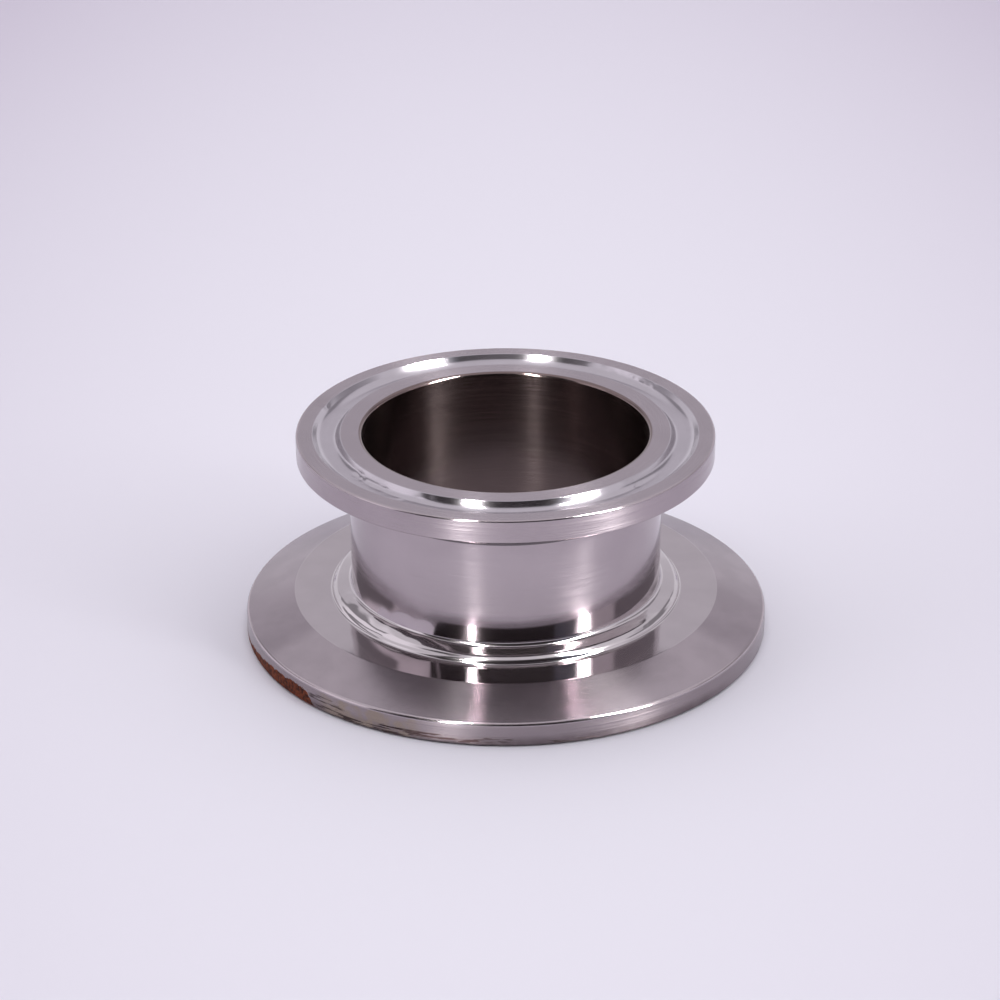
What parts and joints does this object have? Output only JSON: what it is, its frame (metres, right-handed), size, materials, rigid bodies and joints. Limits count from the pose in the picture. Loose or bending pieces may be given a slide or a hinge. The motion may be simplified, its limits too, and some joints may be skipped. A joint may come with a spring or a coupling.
{
  "type": "sanitary clamp reducer",
  "caption": "Stainless sanitary reducer: a small clamp ferrule on a short neck rising from a wider clamp flange, with a straight bore and a gasket groove in each end face.",
  "frame": {"origin": "centre of the large flange's gasket face, on the bore's axis, at the base of the object", "axes": "+Z along the bore from the large flange to the small one; the piece is turned, so X and Y are alike"},
  "size_m": [0.0642, 0.0642, 0.026],
  "materials": {
    "stainless": "brushed rims, cones and neck; mirror polished grooves, hub ring and foot; rust and nicks along the large rim's lower edge"
  },
  "bodies": {
    "root": {"reducer_body": "stainless"}
  },
  "joints": []
}
